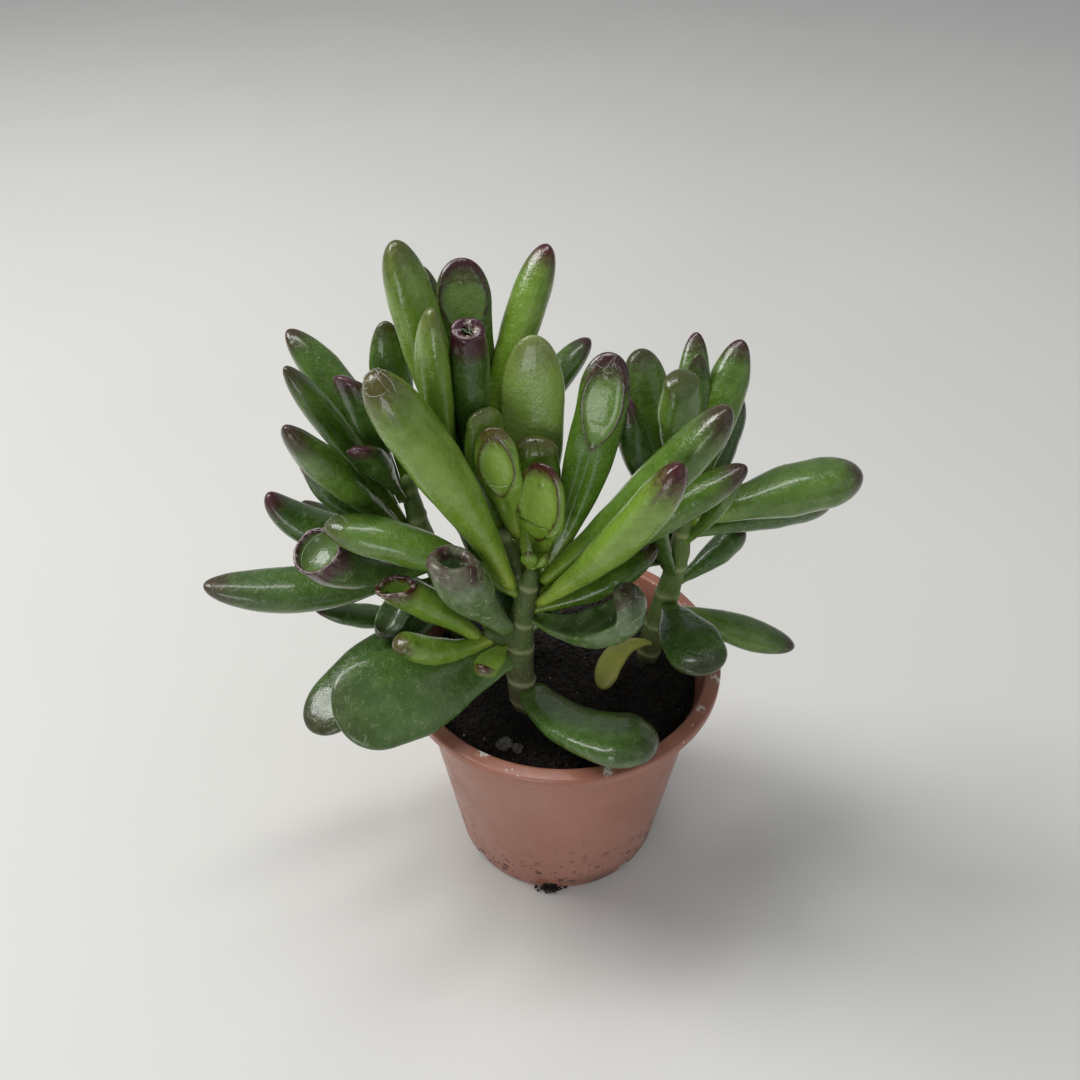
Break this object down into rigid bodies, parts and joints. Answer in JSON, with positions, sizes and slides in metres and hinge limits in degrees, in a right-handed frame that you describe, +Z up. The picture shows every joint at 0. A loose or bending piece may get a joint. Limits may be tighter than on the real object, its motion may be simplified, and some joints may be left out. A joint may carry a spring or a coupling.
{
  "type": "potted jade plant",
  "caption": "Jade plant with fleshy finger, tube and spoon shaped leaves on rooted stems, in dark soil in a round tapered nursery pot.",
  "frame": {"origin": "centre of the pot's flat base, on the surface it stands on", "axes": "+Z up along the pot's axis; -Y is the plant's front, the side the front stem and its lowest leaf grow towards; +X to the right seen from the front"},
  "size_m": [0.1755, 0.09, 0.1832],
  "materials": {
    "pot": "satin",
    "soil": "matte",
    "old_stem": "matte",
    "green_stem": "satin",
    "young_leaf": "satin",
    "grown_leaf": "satin",
    "old_leaf": "satin",
    "yellow_leaf": "satin"
  },
  "bodies": {
    "root": {"pot": "pot", "soil": "soil", "main_stem": "old_stem", "back_stem": "green_stem", "left_stem": "green_stem", "right_stem": "green_stem", "low_front_finger_leaf": "old_leaf", "broad_front_paddle_leaf": "old_leaf", "ear_front_curled_leaf": "old_leaf", "grey_front_tube_leaf": "old_leaf", "reaching_finger_leaf": "young_leaf", "under_reaching_pointed_leaf": "grown_leaf", "spear_finger_leaf": "young_leaf", "left_reaching_finger_leaf": "grown_leaf", "right_upper_finger_leaf": "grown_leaf", "right_middle_finger_leaf": "grown_leaf", "crown_double_cup_leaf": "grown_leaf", "crown_window_finger_leaf": "young_leaf", "crown_notched_tube_leaf": "young_leaf", "crown_front_cup_leaf": "young_leaf", "crown_slender_finger_leaf": "grown_leaf", "fork_front_cup_leaf": "young_leaf", "fork_back_tube_leaf": "young_leaf", "fork_shaded_pointed_leaf": "grown_leaf", "side_upper_tube_leaf": "young_leaf", "side_lower_tube_leaf": "young_leaf", "side_bud_tube_leaf": "young_leaf", "side_ear_curled_leaf": "young_leaf", "top_left_finger_leaf": "young_leaf", "top_left_rear_finger_leaf": "grown_leaf", "top_window_cup_leaf": "grown_leaf", "top_right_finger_leaf": "young_leaf", "top_spear_pointed_leaf": "young_leaf", "top_dark_tube_leaf": "old_leaf", "rear_small_finger_leaf": "grown_leaf", "left_high_pointed_leaf": "grown_leaf", "left_second_pointed_leaf": "grown_leaf", "left_rear_pointed_leaf": "grown_leaf", "left_cup_cup_leaf": "old_leaf", "left_third_pointed_leaf": "grown_leaf", "left_dark_tube_leaf": "old_leaf", "left_slim_cup_leaf": "old_leaf", "left_hook_pointed_leaf": "old_leaf", "left_sucker_tube_leaf": "old_leaf", "low_long_pointed_leaf": "old_leaf", "low_ear_curled_leaf": "old_leaf", "low_rear_paddle_leaf": "old_leaf", "right_long_finger_leaf": "grown_leaf", "right_long_lower_finger_leaf": "old_leaf", "right_low_finger_leaf": "old_leaf", "right_lowest_pointed_leaf": "grown_leaf", "right_broad_paddle_leaf": "old_leaf", "right_top_pointed_leaf": "grown_leaf", "right_top_rear_pointed_leaf": "grown_leaf", "right_sucker_tube_leaf": "grown_leaf", "right_rear_finger_leaf": "grown_leaf", "right_shaded_finger_leaf": "old_leaf", "right_dark_finger_leaf": "old_leaf", "right_inner_paddle_leaf": "old_leaf", "fading_finger_leaf": "yellow_leaf"}
  },
  "joints": []
}
